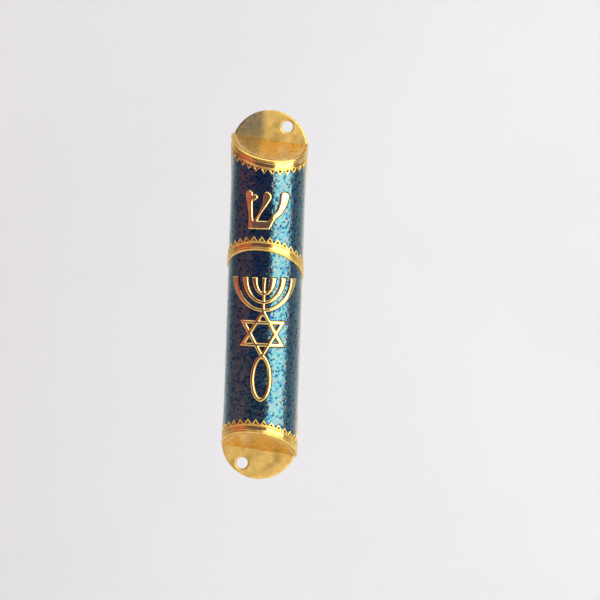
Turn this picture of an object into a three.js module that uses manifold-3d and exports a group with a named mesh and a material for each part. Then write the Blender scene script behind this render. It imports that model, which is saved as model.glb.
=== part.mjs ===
// A mezuzah case: an arched, enamelled metal case that closes over a flat mounting plate and keeps
// a rolled scroll. The plate has an ear with a nail hole at each end. The case carries three crown
// bands, the letter shin and an emblem of a seven-branched lamp, a six-pointed star and a fish.
// Millimetres. X is right, Y goes into the wall and Z is up, along the case. The origin is the
// middle of the plate's back face. "Height" is the distance in front of the plate's front face.
import * as THREE from "three";
import { mergeVertices } from "three/addons/utils/BufferGeometryUtils.js";
import Module from "manifold-3d";

// ---- Case ----
const CASE_LENGTH = 88.8; // along its foot, between the two end faces
const CASE_WIDTH = 21.0; // over the enamel
const SKIRT = 1.2; // straight part of the side walls, below the arch
const WALL = 0.8;
const ENAMEL_DEPTH = 0.35;
const END_LEAN = 0.55; // an end face leans in this much for each unit of height
const BAND_SLANT = 0.12; // bands and end faces drop this much for each unit to the right
const SEAT_GAP = 0.05; // between pieces that touch

// ---- Crown bands ----
const BAND_WIDTH = 2.55; // without the teeth
const BAND_RELIEF = 0.38; // ridges above the enamel
const CHANNEL_RELIEF = 0.14; // hollow between the ridges, above the enamel
const RIDGE_WIDTH = 0.55;
const RIDGE_FLANK = 0.22;
const TOOTH_HEIGHT = 1.55;
const TOOTH_RELIEF = 0.26;
const TOOTH_COUNT = 16; // over the whole arch
const SHORTEST_TOOTH = 0.05;
const ENAMEL_TO_BAND = 0.1;
const MIDDLE_BAND_SHARE = 0.668; // lower edge of the middle band, as a share of the crest's length
const STEPS_PER_FLANK = 2; // facets of the arch on each flank of a tooth

// ---- Mounting plate ----
const PLATE_THICKNESS = 1.0;
const PLATE_LEDGE = 0.3; // how far the plate stands out past the side of the case
const EAR_REACH = 8.1; // how far an ear stands out past the foot of the case
const NAIL_HOLE_DIAMETER = 3.2;
const NAIL_HOLE_CHAMFER = 0.3;
const NAIL_HOLE_FROM_TIP = 4.5;
const NAIL_HOLE_OFFSET = 4.8; // right of the middle at the top, left of it at the bottom

// ---- End caps ----
const CAP_THICKNESS = 0.8;
const CAP_RECESS = 0.25;

// ---- Spring clips and rivets ----
const CLIP_THICKNESS = 0.35;
const CLIP_LENGTH = 5.0; // along the case
const CLIP_INSET = 16.0; // from the foot of an end face to the middle of the clip
const CLIP_GRIP_HEIGHT = 1.7; // where an arm presses on the wall
const CLIP_ARM_HEIGHT = 4.2;
const CLIP_LEAD_IN = 1.2; // how far an arm's tip leans in
const CLIP_FOOT_SETBACK = 0.6; // how far an arm's root stands in from the wall
const RIVET_DIAMETER = 1.5;
const RIVET_HEAD_DIAMETER = 3.0;
const RIVET_HEAD_HEIGHT = 0.35;
const RIVET_TAIL_DIAMETER = 2.5;
const RIVET_TAIL_DEPTH = 0.5;
const RIVET_GAP = 0.05;

// ---- Scroll ----
const SCROLL_DIAMETER = 5.9; // rolled tight, as it goes in
const SCROLL_FLOOR_GAP = 0.15; // between the scroll and the rivet heads
const SCROLL_END_GAP = 0.3;
const PAPER = 0.3;
const SCROLL_PITCH = 0.45; // from one turn of the roll to the next
const SCROLL_TURNS = 4;
const SCROLL_STEPS = 26; // facets in one turn

// ---- Raised letter and emblem ----
const EMBLEM_RELIEF = 0.45;
const EMBLEM_SIDE_MARGIN = 1.85; // to the side of the case, seen from the front
const CUP_WIDTH = 1.6; // top of a lamp arm
const ARM_WIDTH = 1.0; // where an arm meets the stem
const ARM_DROPS = [4.6, 6.9, 9.1]; // depth of the inner, middle and outer pair of arms
const STEM_WIDTH = 0.95;
const STAR_RADIUS = 6.2; // to the points, along the middle of the strokes
const STAR_STROKE = 1.05;
const FISH_LENGTH = 12.2;
const FISH_BELLY = 2.45; // half the width, to the middle of the stroke
const FISH_STROKE = 1.08;
const EMBLEM_TOP_GAP = 7.25; // from the middle band to the lamp, on the crest
const EMBLEM_FOOT_GAP = 4.5; // least gap from the fish to the bottom band's teeth
const STEM_REACH = 9.4; // from the top of the lamp to the point of the star
const SHIN_WIDTH = 11.8;
const SHIN_HEIGHT = 10.8;
const SHIN_MOST_SHARE = 0.66; // the letter's height, at most, as a share of the upper field
const SHIN_TOP_SHARE = 0.7; // gap above the letter, as a share of the room left over

const wasm = await Module();
wasm.setup();

const gold = { color: 0xd9a93a, roughness: 0.22, metalness: 1.0 };
const materials = {
  shell: new THREE.MeshStandardMaterial(gold),
  band: new THREE.MeshStandardMaterial({ ...gold, roughness: 0.16 }),
  plate: new THREE.MeshStandardMaterial({ ...gold, color: 0xb8923e, roughness: 0.3 }),
  enamel: new THREE.MeshStandardMaterial({ color: 0x123a6e, roughness: 0.12, metalness: 0.35 }),
  spring: new THREE.MeshStandardMaterial({ color: 0xb37a45, roughness: 0.35, metalness: 1.0 }),
  rivet: new THREE.MeshStandardMaterial({ color: 0xc9a24a, roughness: 0.35, metalness: 1.0 }),
  paper: new THREE.MeshStandardMaterial({ color: 0xeeeae0, roughness: 0.85, metalness: 0 }),
};

// ---- Derived sizes ----
const archRadius = CASE_WIDTH / 2;
const crestHeight = SKIRT + archRadius;
const wallOut = -ENAMEL_DEPTH - SEAT_GAP; // outer face of the metal wall
const wallIn = wallOut - WALL;
const footY = -PLATE_THICKNESS - SEAT_GAP; // where height 0 lies
const plateLength = CASE_LENGTH + 2 * EAR_REACH;
const plateWidth = CASE_WIDTH + 2 * PLATE_LEDGE;
const clipZ = CASE_LENGTH / 2 - CLIP_INSET;

// ---- Solids ----

// A closed mesh as a manifold-3d solid.
function solidOf(geometry) {
  const bare = geometry.index ? geometry.toNonIndexed() : geometry.clone();
  bare.deleteAttribute("normal");
  bare.deleteAttribute("uv");
  const merged = mergeVertices(bare, 1e-4);
  return new wasm.Manifold(
    new wasm.Mesh({
      numProp: 3,
      vertProperties: merged.attributes.position.array,
      triVerts: new Uint32Array(merged.index.array),
    }),
  );
}

// A manifold-3d solid as a three.js geometry.
function geometryOf(solid) {
  const mesh = solid.getMesh();
  const geometry = new THREE.BufferGeometry();
  geometry.setAttribute("position", new THREE.BufferAttribute(mesh.vertProperties, 3));
  geometry.setIndex(new THREE.BufferAttribute(mesh.triVerts, 1));
  const flat = geometry.toNonIndexed();
  flat.computeVertexNormals();
  return flat;
}

// An outline in the X-Z plane, made a prism that reaches from one height to another.
function prismAlongY(shape, low, high) {
  const geometry = new THREE.ExtrudeGeometry(shape, { depth: high - low, bevelEnabled: false });
  geometry.rotateX(Math.PI / 2); // the outline stands up, and its depth goes to the front
  return geometry.translate(0, footY - low, 0);
}

// An outline in X and height, made a bar along Z, centred on z.
function barAlongZ(shape, length, z) {
  const geometry = new THREE.ExtrudeGeometry(shape, { depth: length, bevelEnabled: false });
  geometry.applyMatrix4(new THREE.Matrix4().makeScale(1, -1, 1));
  flipFaces(geometry);
  return geometry.translate(0, footY, z - length / 2);
}

// Turns every face round, after a mirror.
function flipFaces(geometry) {
  const position = geometry.attributes.position;
  const a = new THREE.Vector3();
  const b = new THREE.Vector3();
  for (let i = 0; i < position.count; i += 3) {
    a.fromBufferAttribute(position, i + 1);
    b.fromBufferAttribute(position, i + 2);
    position.setXYZ(i + 1, b.x, b.y, b.z);
    position.setXYZ(i + 2, a.x, a.y, a.z);
  }
}

// ---- The arch ----

// A point of the arched section. `t` runs from 0 at the left foot to 1 at the right foot, and `out`
// is how far the point stands outside the enamel's face.
function archPoint(t, out) {
  const perimeter = Math.PI * archRadius + 2 * SKIRT;
  const run = t * perimeter;
  if (run < SKIRT) return { x: -archRadius - out, height: run };
  if (run > perimeter - SKIRT) return { x: archRadius + out, height: perimeter - run };
  const angle = Math.PI - (run - SKIRT) / archRadius;
  return {
    x: (archRadius + out) * Math.cos(angle),
    height: SKIRT + (archRadius + out) * Math.sin(angle),
  };
}

// Places along the arch: every flank of a tooth in equal steps, and the two ends of the arch.
function archStations() {
  const steps = TOOTH_COUNT * 2 * STEPS_PER_FLANK;
  const skirtEnd = SKIRT / (Math.PI * archRadius + 2 * SKIRT);
  const stations = [skirtEnd, 1 - skirtEnd];
  const tooClose = 0.2 / steps;
  for (let i = 0; i <= steps; i++) {
    const t = i / steps;
    const onTooth = i % STEPS_PER_FLANK === 0;
    if (onTooth || stations.every((s) => Math.abs(s - t) > tooClose)) stations.push(t);
  }
  return stations.sort((a, b) => a - b);
}

// Height of a tooth at place t: 0 in a valley and 1 at a tip.
function toothAt(t) {
  const along = (t * TOOTH_COUNT) % 1;
  return 1 - Math.abs(2 * along - 1);
}

// A leaning, slanting plane across the case: its Z at a point of the section.
function level(zAtFoot, lean) {
  return ({ x, height }) => zAtFoot + lean * height - BAND_SLANT * x;
}

const topEnd = level(CASE_LENGTH / 2, -END_LEAN);
const bottomEnd = level(-CASE_LENGTH / 2, END_LEAN);
const crestHalfLength = CASE_LENGTH / 2 - END_LEAN * crestHeight;
const middleCrestZ = crestHalfLength * (2 * MIDDLE_BAND_SHARE - 1);
const bandHeight = BAND_WIDTH + TOOTH_HEIGHT;
const upperField = crestHalfLength - middleCrestZ - 2 * bandHeight; // between teeth, on the crest
const lowerField = crestHalfLength + middleCrestZ - bandHeight;
const middleEdge = level(middleCrestZ - END_LEAN * crestHeight, END_LEAN);

// A skin that follows the arch. `ring(t)` gives its closed outline at place t, as a list of
// [out, z of a section point], going round so that the faces point out.
function skin(ring) {
  const stations = archStations();
  const rings = stations.map((t) =>
    ring(t).map(([out, zAt]) => {
      const point = archPoint(t, out);
      return [point.x, footY - point.height, zAt(point)];
    }),
  );
  const count = rings[0].length;
  const positions = rings.flat(2);
  const faces = [];
  for (let j = 0; j + 1 < rings.length; j++) {
    for (let i = 0; i < count; i++) {
      const a = j * count + i;
      const b = j * count + ((i + 1) % count);
      faces.push(a, b + count, b, a, a + count, b + count);
    }
  }
  const last = (rings.length - 1) * count;
  const cap = (points) =>
    THREE.ShapeUtils.triangulateShape(points.map((p) => new THREE.Vector2(p[0], p[1])), []);
  const flatRing = (t) => ring(t).map(([out, zAt]) => [out, zAt(archPoint(t, out))]);
  for (const [a, b, c] of cap(flatRing(0))) faces.push(a, b, c);
  for (const [a, b, c] of cap(flatRing(1))) faces.push(last + a, last + c, last + b);
  const geometry = new THREE.BufferGeometry();
  geometry.setAttribute("position", new THREE.Float32BufferAttribute(positions, 3));
  geometry.setIndex(faces);
  const flat = geometry.toNonIndexed();
  flat.computeVertexNormals();
  return flat;
}

// A plane moved along Z.
const moved = (plane, by) => (point) => plane(point) + by;

// The metal wall of the case, or any plain layer between two planes.
function layer(outIn, outOut, low, high) {
  return skin(() => [
    [outIn, low],
    [outOut, low],
    [outOut, high],
    [outIn, high],
  ]);
}

// A crown band. `edge` is the plane of its plain rim, and `way` is 1 if its teeth point up.
function crownBand(edge, way) {
  const at = (distance) => moved(edge, way * distance);
  const flank = RIDGE_WIDTH + RIDGE_FLANK;
  return skin((t) => {
    const tip = BAND_WIDTH + SHORTEST_TOOTH + (TOOTH_HEIGHT - SHORTEST_TOOTH) * toothAt(t);
    const ring = [
      [-ENAMEL_DEPTH, at(0)],
      [BAND_RELIEF, at(0)],
      [BAND_RELIEF, at(RIDGE_WIDTH)],
      [CHANNEL_RELIEF, at(flank)],
      [CHANNEL_RELIEF, at(BAND_WIDTH - flank)],
      [BAND_RELIEF, at(BAND_WIDTH - RIDGE_WIDTH)],
      [BAND_RELIEF, at(BAND_WIDTH - RIDGE_FLANK)],
      [TOOTH_RELIEF, at(BAND_WIDTH)],
      [TOOTH_RELIEF, at(tip)],
      [-ENAMEL_DEPTH, at(tip)],
    ];
    return way > 0 ? ring : ring.reverse();
  });
}

// How far a band and its teeth reach from its rim at place t, with the gap to the enamel.
const bandReach = (t) => BAND_WIDTH + ENAMEL_TO_BAND + SHORTEST_TOOTH +
  (TOOTH_HEIGHT - SHORTEST_TOOTH) * toothAt(t);

// An enamel field between two planes that may change along the arch.
function enamelField(lowAt, highAt) {
  return skin((t) => [
    [-ENAMEL_DEPTH, lowAt(t)],
    [0, lowAt(t)],
    [0, highAt(t)],
    [-ENAMEL_DEPTH, highAt(t)],
  ]);
}

// ---- Mounting plate, end caps, clips and rivets ----

function plateOutline() {
  const radius = plateWidth / 2;
  const straight = plateLength / 2 - radius;
  const outline = new THREE.Shape();
  outline.absarc(0, straight, radius, 0, Math.PI, false);
  outline.absarc(0, -straight, radius, Math.PI, 2 * Math.PI, false);
  return outline;
}

// A round cutter or stud along Y, from [radius, y] steps.
function turnedAlongY(profile, x, z, segments) {
  const points = profile.map(([radius, y]) => new THREE.Vector2(radius, y));
  return new THREE.LatheGeometry(points, segments).translate(x, 0, z);
}

function backPlate() {
  const blank = new THREE.ExtrudeGeometry(plateOutline(), {
    depth: PLATE_THICKNESS,
    bevelEnabled: false,
    curveSegments: 32,
  });
  blank.rotateX(Math.PI / 2); // its back face lies on the wall, at Y = 0
  let plate = solidOf(blank);
  const past = 1;
  const nailRadius = NAIL_HOLE_DIAMETER / 2;
  const nailZ = plateLength / 2 - NAIL_HOLE_FROM_TIP;
  for (const side of [1, -1]) {
    const nailHole = turnedAlongY(
      [
        [0, -PLATE_THICKNESS - past],
        [nailRadius + NAIL_HOLE_CHAMFER + past, -PLATE_THICKNESS - past],
        [nailRadius, -PLATE_THICKNESS + NAIL_HOLE_CHAMFER],
        [nailRadius, past],
        [0, past],
      ],
      side * NAIL_HOLE_OFFSET,
      side * nailZ,
      32,
    );
    const rivetHole = turnedAlongY(
      [
        [0, -PLATE_THICKNESS - past],
        [RIVET_DIAMETER / 2 + RIVET_GAP, -PLATE_THICKNESS - past],
        [RIVET_DIAMETER / 2 + RIVET_GAP, -RIVET_TAIL_DEPTH],
        [RIVET_TAIL_DIAMETER / 2 + RIVET_GAP, 0],
        [RIVET_TAIL_DIAMETER / 2 + RIVET_GAP, past],
        [0, past],
      ],
      0,
      side * clipZ,
      20,
    );
    plate = plate.subtract(solidOf(nailHole)).subtract(solidOf(rivetHole));
  }
  return geometryOf(plate);
}

// The sloping plate that closes one end. `end` is the plane of the rim, and `way` is 1 at the top.
function endCap(end, lean, way) {
  const out = wallIn - SEAT_GAP;
  const points = archStations().map((t) => {
    const { x, height } = archPoint(t, out);
    return new THREE.Vector2(x, height);
  });
  const geometry = barAlongZ(new THREE.Shape(points), CAP_THICKNESS, 0);
  const middle = end({ x: 0, height: 0 }) - way * (CAP_RECESS + CAP_THICKNESS / 2);
  const shear = new THREE.Matrix4().set(
    1, 0, 0, 0,
    0, 1, 0, 0,
    -BAND_SLANT, -lean, 1, middle + lean * footY,
    0, 0, 0, 1,
  );
  return geometry.applyMatrix4(shear);
}

// One half of the clip's outline, from the middle to the tip of an arm, as [x, height].
function clipHalf() {
  const wall = archRadius + wallIn - SEAT_GAP;
  return {
    outer: [
      [wall - CLIP_FOOT_SETBACK, 0],
      [wall, CLIP_GRIP_HEIGHT],
      [wall - CLIP_LEAD_IN, CLIP_ARM_HEIGHT],
    ],
    inner: [
      [wall - CLIP_LEAD_IN - CLIP_THICKNESS, CLIP_ARM_HEIGHT],
      [wall - CLIP_THICKNESS, CLIP_GRIP_HEIGHT],
      [wall - CLIP_FOOT_SETBACK - CLIP_THICKNESS, CLIP_THICKNESS],
    ],
  };
}

// A U-shaped spring strip across the plate. Its arms press on the side walls of the case.
function springClip(z) {
  const { outer, inner } = clipHalf();
  const right = [...outer, ...inner];
  const left = [...right].reverse().map(([x, height]) => [-x, height]);
  const outline = new THREE.Shape([...right, ...left].map(([x, h]) => new THREE.Vector2(x, h)));
  const strip = solidOf(barAlongZ(outline, CLIP_LENGTH, z));
  const past = 1;
  const hole = turnedAlongY(
    [
      [0, footY - CLIP_THICKNESS - past],
      [RIVET_DIAMETER / 2 + RIVET_GAP, footY - CLIP_THICKNESS - past],
      [RIVET_DIAMETER / 2 + RIVET_GAP, footY + past],
      [0, footY + past],
    ],
    0,
    z,
    20,
  );
  return geometryOf(strip.subtract(solidOf(hole)));
}

// A rivet through the clip and the plate: domed head in front, countersunk tail behind.
function rivet(z) {
  const headY = footY - CLIP_THICKNESS - SEAT_GAP;
  const domeSteps = 5;
  const dome = [];
  for (let i = 0; i <= domeSteps; i++) {
    const angle = ((Math.PI / 2) * i) / domeSteps;
    dome.push([
      (RIVET_HEAD_DIAMETER / 2) * Math.sin(angle),
      headY - RIVET_HEAD_HEIGHT * Math.cos(angle),
    ]);
  }
  return turnedAlongY(
    [
      ...dome,
      [RIVET_DIAMETER / 2, headY],
      [RIVET_DIAMETER / 2, -RIVET_TAIL_DEPTH],
      [RIVET_TAIL_DIAMETER / 2, 0],
      [0, 0],
    ],
    0,
    z,
    20,
  );
}

// ---- Scroll ----

// The scroll lies on the rivet heads, in the middle of the hollow.
function scroll() {
  const floor = CLIP_THICKNESS + SEAT_GAP + RIVET_HEAD_HEIGHT + SCROLL_FLOOR_GAP;
  const radius = SCROLL_DIAMETER / 2;
  const centre = floor + radius;
  const steps = SCROLL_TURNS * SCROLL_STEPS;
  const outer = [];
  const inner = [];
  for (let i = 0; i <= steps; i++) {
    const turn = i / SCROLL_STEPS;
    const angle = 2 * Math.PI * turn;
    const r = radius - SCROLL_PITCH * turn;
    const at = (reach) =>
      new THREE.Vector2(reach * Math.cos(angle), centre + reach * Math.sin(angle));
    outer.push(at(r));
    inner.push(at(r - PAPER));
  }
  const shape = new THREE.Shape([...outer, ...inner.reverse()]);
  const capInside = CAP_RECESS + CAP_THICKNESS;
  const highest = floor + 2 * radius;
  const slantLoss = BAND_SLANT * radius;
  const halfLength =
    CASE_LENGTH / 2 - END_LEAN * highest - slantLoss - capInside - SCROLL_END_GAP;
  return barAlongZ(shape, 2 * halfLength, 0);
}

// ---- Raised letter and emblem ----

// A stroke along a smooth line through [x, z, width] points, as an outline.
function stroke(points, steps = 16) {
  const line = new THREE.CatmullRomCurve3(points.map(([x, z, w]) => new THREE.Vector3(x, z, w)));
  const left = [];
  const right = [];
  for (let i = 0; i <= steps; i++) {
    const here = line.getPoint(i / steps);
    const heading = line.getTangent(i / steps);
    const flat = new THREE.Vector2(heading.x, heading.y).normalize();
    const half = here.z / 2;
    left.push(new THREE.Vector2(here.x - flat.y * half, here.y + flat.x * half));
    right.push(new THREE.Vector2(here.x + flat.y * half, here.y - flat.x * half));
  }
  return new THREE.Shape([...right, ...left.reverse()]);
}

// Outlines in the X-Z plane, raised from the enamel along the arch as one solid.
function raised(shapes) {
  const reach = crestHeight + EMBLEM_RELIEF + 1;
  const prisms = shapes.map((shape) => solidOf(prismAlongY(shape, SKIRT, reach)));
  const relief = solidOf(
    layer(SEAT_GAP, EMBLEM_RELIEF, level(-CASE_LENGTH, 0), level(CASE_LENGTH, 0)),
  );
  return geometryOf(prisms.reduce((a, b) => a.add(b)).intersect(relief));
}

function ellipse(x, z, halfWidth, halfHeight) {
  const curve = new THREE.EllipseCurve(x, z, halfWidth, halfHeight, 0, 2 * Math.PI, false, 0);
  return new THREE.Shape(curve.getPoints(20).slice(1));
}

// The three-armed letter, with a drop at the head of each arm.
function shinShapes() {
  const letterHeight = Math.min(SHIN_HEIGHT, SHIN_MOST_SHARE * upperField);
  const top = crestHalfLength - bandHeight - SHIN_TOP_SHARE * (upperField - letterHeight);
  const foot = top - letterHeight;
  const x = (share) => (share * SHIN_WIDTH) / 2; // -1 at the left edge and 1 at the right edge
  const z = (share) => foot + share * (top - foot); // 0 at the foot and 1 at the top
  const leftArm = [
    [x(-0.83), z(1.0), 1.8],
    [x(-0.79), z(0.66), 1.4],
    [x(-0.75), z(0.36), 1.2],
    [x(-0.69), z(0.06), 1.5],
  ];
  const middleArm = [
    [x(-0.02), z(0.72), 1.9],
    [x(-0.24), z(0.48), 1.1],
    [x(-0.44), z(0.3), 1.0],
    [x(-0.62), z(0.1), 1.4],
  ];
  const rightArm = [
    [x(0.81), z(0.74), 2.3],
    [x(0.62), z(0.46), 1.7],
    [x(0.34), z(0.28), 1.5],
    [x(0.1), z(0.08), 1.8],
  ];
  const base = [
    [x(-0.8), z(0.1), 2.2],
    [x(-0.34), z(0.1), 2.2],
    [x(0.12), z(0.1), 2.2],
  ];
  return [
    stroke(leftArm),
    stroke(middleArm),
    stroke(rightArm),
    stroke(base, 4),
    ellipse(x(-0.58), z(0.83), 0.75, 0.95),
    ellipse(x(0.04), z(0.83), 1.15, 1.5),
    ellipse(x(0.82), z(0.84), 1.2, 1.8),
  ];
}

// One pair of curved arms, wide at the top, hung from the line at `top`.
function lampArms(halfSpread, drop, top) {
  const steps = 6;
  return [-1, 1].map((side) => {
    const points = [];
    for (let i = 0; i <= steps; i++) {
      const angle = ((Math.PI / 2) * i) / steps;
      const width = CUP_WIDTH + (ARM_WIDTH - CUP_WIDTH) * Math.sin(angle);
      points.push([side * halfSpread * Math.cos(angle), top - drop * Math.sin(angle), width]);
    }
    return stroke(points, 18);
  });
}

function triangleRing(centreZ, radius, firstCorner) {
  const corners = (reach) =>
    [0, 120, 240].map((turn) => {
      const angle = THREE.MathUtils.degToRad(firstCorner + turn);
      return new THREE.Vector2(reach * Math.cos(angle), centreZ + reach * Math.sin(angle));
    });
  const ring = new THREE.Shape(corners(radius + STAR_STROKE));
  ring.holes.push(new THREE.Path(corners(radius - STAR_STROKE)));
  return ring;
}

// Two bowed strokes that part at the point of the star and meet below.
function fishShapes(headZ, length) {
  const pull = (FISH_BELLY * 4) / 3;
  return [-1, 1].map((side) => {
    const bow = new THREE.CubicBezierCurve(
      new THREE.Vector2(0, headZ),
      new THREE.Vector2(side * pull, headZ - length * 0.14),
      new THREE.Vector2(side * pull, headZ - length * 0.95),
      new THREE.Vector2(-side * FISH_STROKE * 0.1, headZ - length),
    );
    return stroke(bow.getPoints(12).map((p) => [p.x, p.y, FISH_STROKE]), 20);
  });
}

// The lamp, the star below it and the fish below that, made smaller where the field is too short.
function emblemShapes() {
  const height = STEM_REACH + 2 * STAR_RADIUS + FISH_LENGTH;
  const fit = Math.min(1, (lowerField - EMBLEM_TOP_GAP - EMBLEM_FOOT_GAP) / height);
  const top = middleCrestZ - EMBLEM_TOP_GAP;
  const widest = archRadius - EMBLEM_SIDE_MARGIN - CUP_WIDTH / 2;
  const stemReach = STEM_REACH * fit;
  const starRadius = STAR_RADIUS * fit;
  const starZ = top - stemReach - starRadius;
  const stem = [
    [0, top, CUP_WIDTH * 0.8],
    [0, top - stemReach / 4, STEM_WIDTH],
    [0, top - stemReach - STAR_STROKE, STEM_WIDTH],
  ];
  const arms = ARM_DROPS.flatMap((drop, i) =>
    lampArms((widest * (i + 1)) / ARM_DROPS.length, drop * fit, top),
  );
  return [
    stroke(stem, 8),
    ...arms,
    triangleRing(starZ, starRadius, 90),
    triangleRing(starZ, starRadius, 270),
    ...fishShapes(starZ - starRadius, FISH_LENGTH * fit),
  ];
}

// ---- Assembly ----

const part = new THREE.Group();

function add(name, geometry, material) {
  const mesh = new THREE.Mesh(geometry, material);
  mesh.name = name;
  part.add(mesh);
}

const belowTopBand = (t) => moved(topEnd, -bandReach(t));
const aboveMiddleBand = (t) => moved(middleEdge, bandReach(t));
const belowMiddleBand = () => moved(middleEdge, -ENAMEL_TO_BAND);
const aboveBottomBand = (t) => moved(bottomEnd, bandReach(t));

add("back_plate", backPlate(), materials.plate);
add("case_shell", layer(wallIn, wallOut, bottomEnd, topEnd), materials.shell);
add("end_cap_top", endCap(topEnd, -END_LEAN, 1), materials.shell);
add("end_cap_bottom", endCap(bottomEnd, END_LEAN, -1), materials.shell);
add("crown_band_top", crownBand(topEnd, -1), materials.band);
add("crown_band_middle", crownBand(middleEdge, 1), materials.band);
add("crown_band_bottom", crownBand(bottomEnd, 1), materials.band);
add("enamel_upper", enamelField(aboveMiddleBand, belowTopBand), materials.enamel);
add("enamel_lower", enamelField(aboveBottomBand, belowMiddleBand), materials.enamel);
add("shin_letter", raised(shinShapes()), materials.band);
add("lamp_star_fish_emblem", raised(emblemShapes()), materials.band);
for (const [name, side] of [["upper", 1], ["lower", -1]]) {
  add(`spring_clip_${name}`, springClip(side * clipZ), materials.spring);
  add(`clip_rivet_${name}`, rivet(side * clipZ), materials.rivet);
}
add("scroll", scroll(), materials.paper);

export default part;
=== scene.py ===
"""A mezuzah case: an arched, enamelled metal case with gold crown bands, a raised letter and a
raised emblem, on a gold mounting plate, with a rolled scroll inside.

Sizes are in millimetres until a mesh, a light or the camera is made. X is right, Y goes into the
wall and Z is up. "Out" is the distance outside the enamel's face. "Height" is the distance in
front of the plate's front face."""

import math

import bpy
import numpy as np
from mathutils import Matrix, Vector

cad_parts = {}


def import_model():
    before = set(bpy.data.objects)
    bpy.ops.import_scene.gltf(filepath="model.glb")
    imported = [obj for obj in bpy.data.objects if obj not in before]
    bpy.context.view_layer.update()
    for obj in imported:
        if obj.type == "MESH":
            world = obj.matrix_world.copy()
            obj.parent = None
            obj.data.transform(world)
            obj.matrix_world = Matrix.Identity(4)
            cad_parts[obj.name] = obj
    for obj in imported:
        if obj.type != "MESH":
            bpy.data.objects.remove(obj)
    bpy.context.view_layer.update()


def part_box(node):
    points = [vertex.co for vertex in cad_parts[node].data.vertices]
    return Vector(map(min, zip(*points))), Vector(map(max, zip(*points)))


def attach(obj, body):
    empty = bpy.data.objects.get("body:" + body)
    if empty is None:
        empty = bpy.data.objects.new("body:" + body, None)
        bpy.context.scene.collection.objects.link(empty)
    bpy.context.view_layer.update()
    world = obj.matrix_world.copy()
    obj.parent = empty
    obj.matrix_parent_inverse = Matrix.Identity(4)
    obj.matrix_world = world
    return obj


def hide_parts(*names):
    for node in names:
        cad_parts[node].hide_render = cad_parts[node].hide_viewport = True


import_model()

MM = 0.001
SEED = 7
FAR = 1e9  # a distance that any real one is below

# ---- Case ----
CASE_LENGTH = 88.8  # at the feet
SKIRT = 1.2  # straight foot under the half circle
WALL = 0.8
ENAMEL_DEPTH = 0.35
END_LEAN = 0.55  # how far an end leans in, for each mm of height
BAND_SLANT = 0.12  # how far the bands fall, for each mm to the right
SEAT_GAP = 0.05  # clearance where one part seats on another

# ---- Crown bands: places across the strip are from its outer edge ----
BAND_WIDTH = 2.55
MIDDLE_BAND_SHARE = 0.668  # place of the middle band, as a share of the crest's length
RIM_HALF = 0.34
RIM_RELIEF = 0.38
BEAD_CENTRE = 0.92
BEAD_HALF = 0.2
BEAD_RELIEF = 0.12  # above the channel
CHANNEL_RELIEF = 0.14
CHANNEL_CROWN = 0.05
INNER_RIM_INSET = 0.25  # from the teeth
INNER_RIM_HALF = 0.26
INNER_RIM_RELIEF = 0.36
STRIP_ROUNDING = 0.15
STRIP_STEPS = 30
# Where the band's two grooves lie, and how much painted shade darkens each
GROOVE_CENTRE = 0.69
GROOVE_SHADE_SHARE = 0.75
INNER_GROOVE_INSET = 0.5  # from the teeth
INNER_GROOVE_SHADE_SHARE = 0.55
GROOVE_HALF = 0.07

# ---- Teeth of the crown bands ----
TOOTH_COUNT = 16
TOOTH_HEIGHT = 1.55
SHORTEST_TOOTH = 0.05  # in the valleys
TOOTH_RELIEF = 0.27
TOOTH_ROUNDING = 0.14
TOOTH_BORDER = 0.33  # round the hollow
TOOTH_HOLLOW = 0.24
HOLLOW_SLOPE = 0.14
HOLLOW_START = (0.1, 0.3)  # where the hollow begins, beyond the strip
STEPS_PER_TOOTH = 22
TOOTH_ROWS = 13

# ---- Letter and emblem ----
EMBLEM_RELIEF = 0.44
EMBLEM_ROUNDING = 0.42
EMBLEM_ROOT = 0.12  # how far it goes into the enamel
EMBLEM_CELL = 0.1
CREASE = 0.17  # width of the low foot round a raised shape, darkened with painted shade
CREASE_RELIEF = 0.015
# How far in from the foot the painted shade fades out
FOOT_SHADE_FADE = 0.05
LETTER_REACH = 7.5  # half the width that is searched for the shape
EMBLEM_REACH = 9.6

EMBLEM_TOP_GAP = 7.25  # from the middle band to the lamp, on the crest
EMBLEM_SIDE_MARGIN = 1.85
CUP_WIDTH = 1.6
STEM_CUP_WIDTH = 1.28
CUP_DEPTH = 2.4
ARM_WIDTH = 1.0
ARM_DROPS = (4.6, 6.9, 9.1)
ARM_STEPS = 24
STEM_REACH = 9.4
STEM_WIDTH = 0.95
LAMP_OVERSHOOT = 2  # strokes start above the lamp's top, and are cut off level
STAR_RADIUS = 6.2
STAR_STROKE = 1.05
FISH_LENGTH = 12.2
FISH_BELLY = 2.45  # half the width, to the middle of the stroke
FISH_STROKE = 1.08
FISH_SHOULDER = 0.14  # the curve's pulls, as shares of its length
FISH_HEEL = 0.95
FISH_CROSSING = 0.1  # how far the bows overlap below, as a share of the stroke
FISH_STEPS = 40

SHIN_WIDTH = 11.8
SHIN_HEIGHT = 10.8
SHIN_TOP_SHARE = 0.7  # gap above the letter, as a share of the room left over
SHIN_BASE_HEIGHT = 2.4
SHIN_BASE_LEFT = -0.82  # as shares of half the letter's width
SHIN_BASE_RIGHT = 0.17
SHIN_BASE_SLOPE = 0.35

# ---- Enamel ----
ENAMEL_CELL = 0.22
ENAMEL_TUCK = 0.2  # how far it goes under a band
ENAMEL_EDGE = 0.5  # the hammering fades out this near the feet
HAMMER_CELL = 1.15
HAMMER_DEPTH = 0.018
HAMMER_LEAST = 0.4  # depth at a ridge, as a share
HAMMER_RIDGE = 0.6
HAMMER_START = 60  # keeps the cells' numbers above 0
SCATTER_SIDE = 64  # the scattered points repeat after this many cells
SCATTER_MARGIN = 0.12

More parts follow.
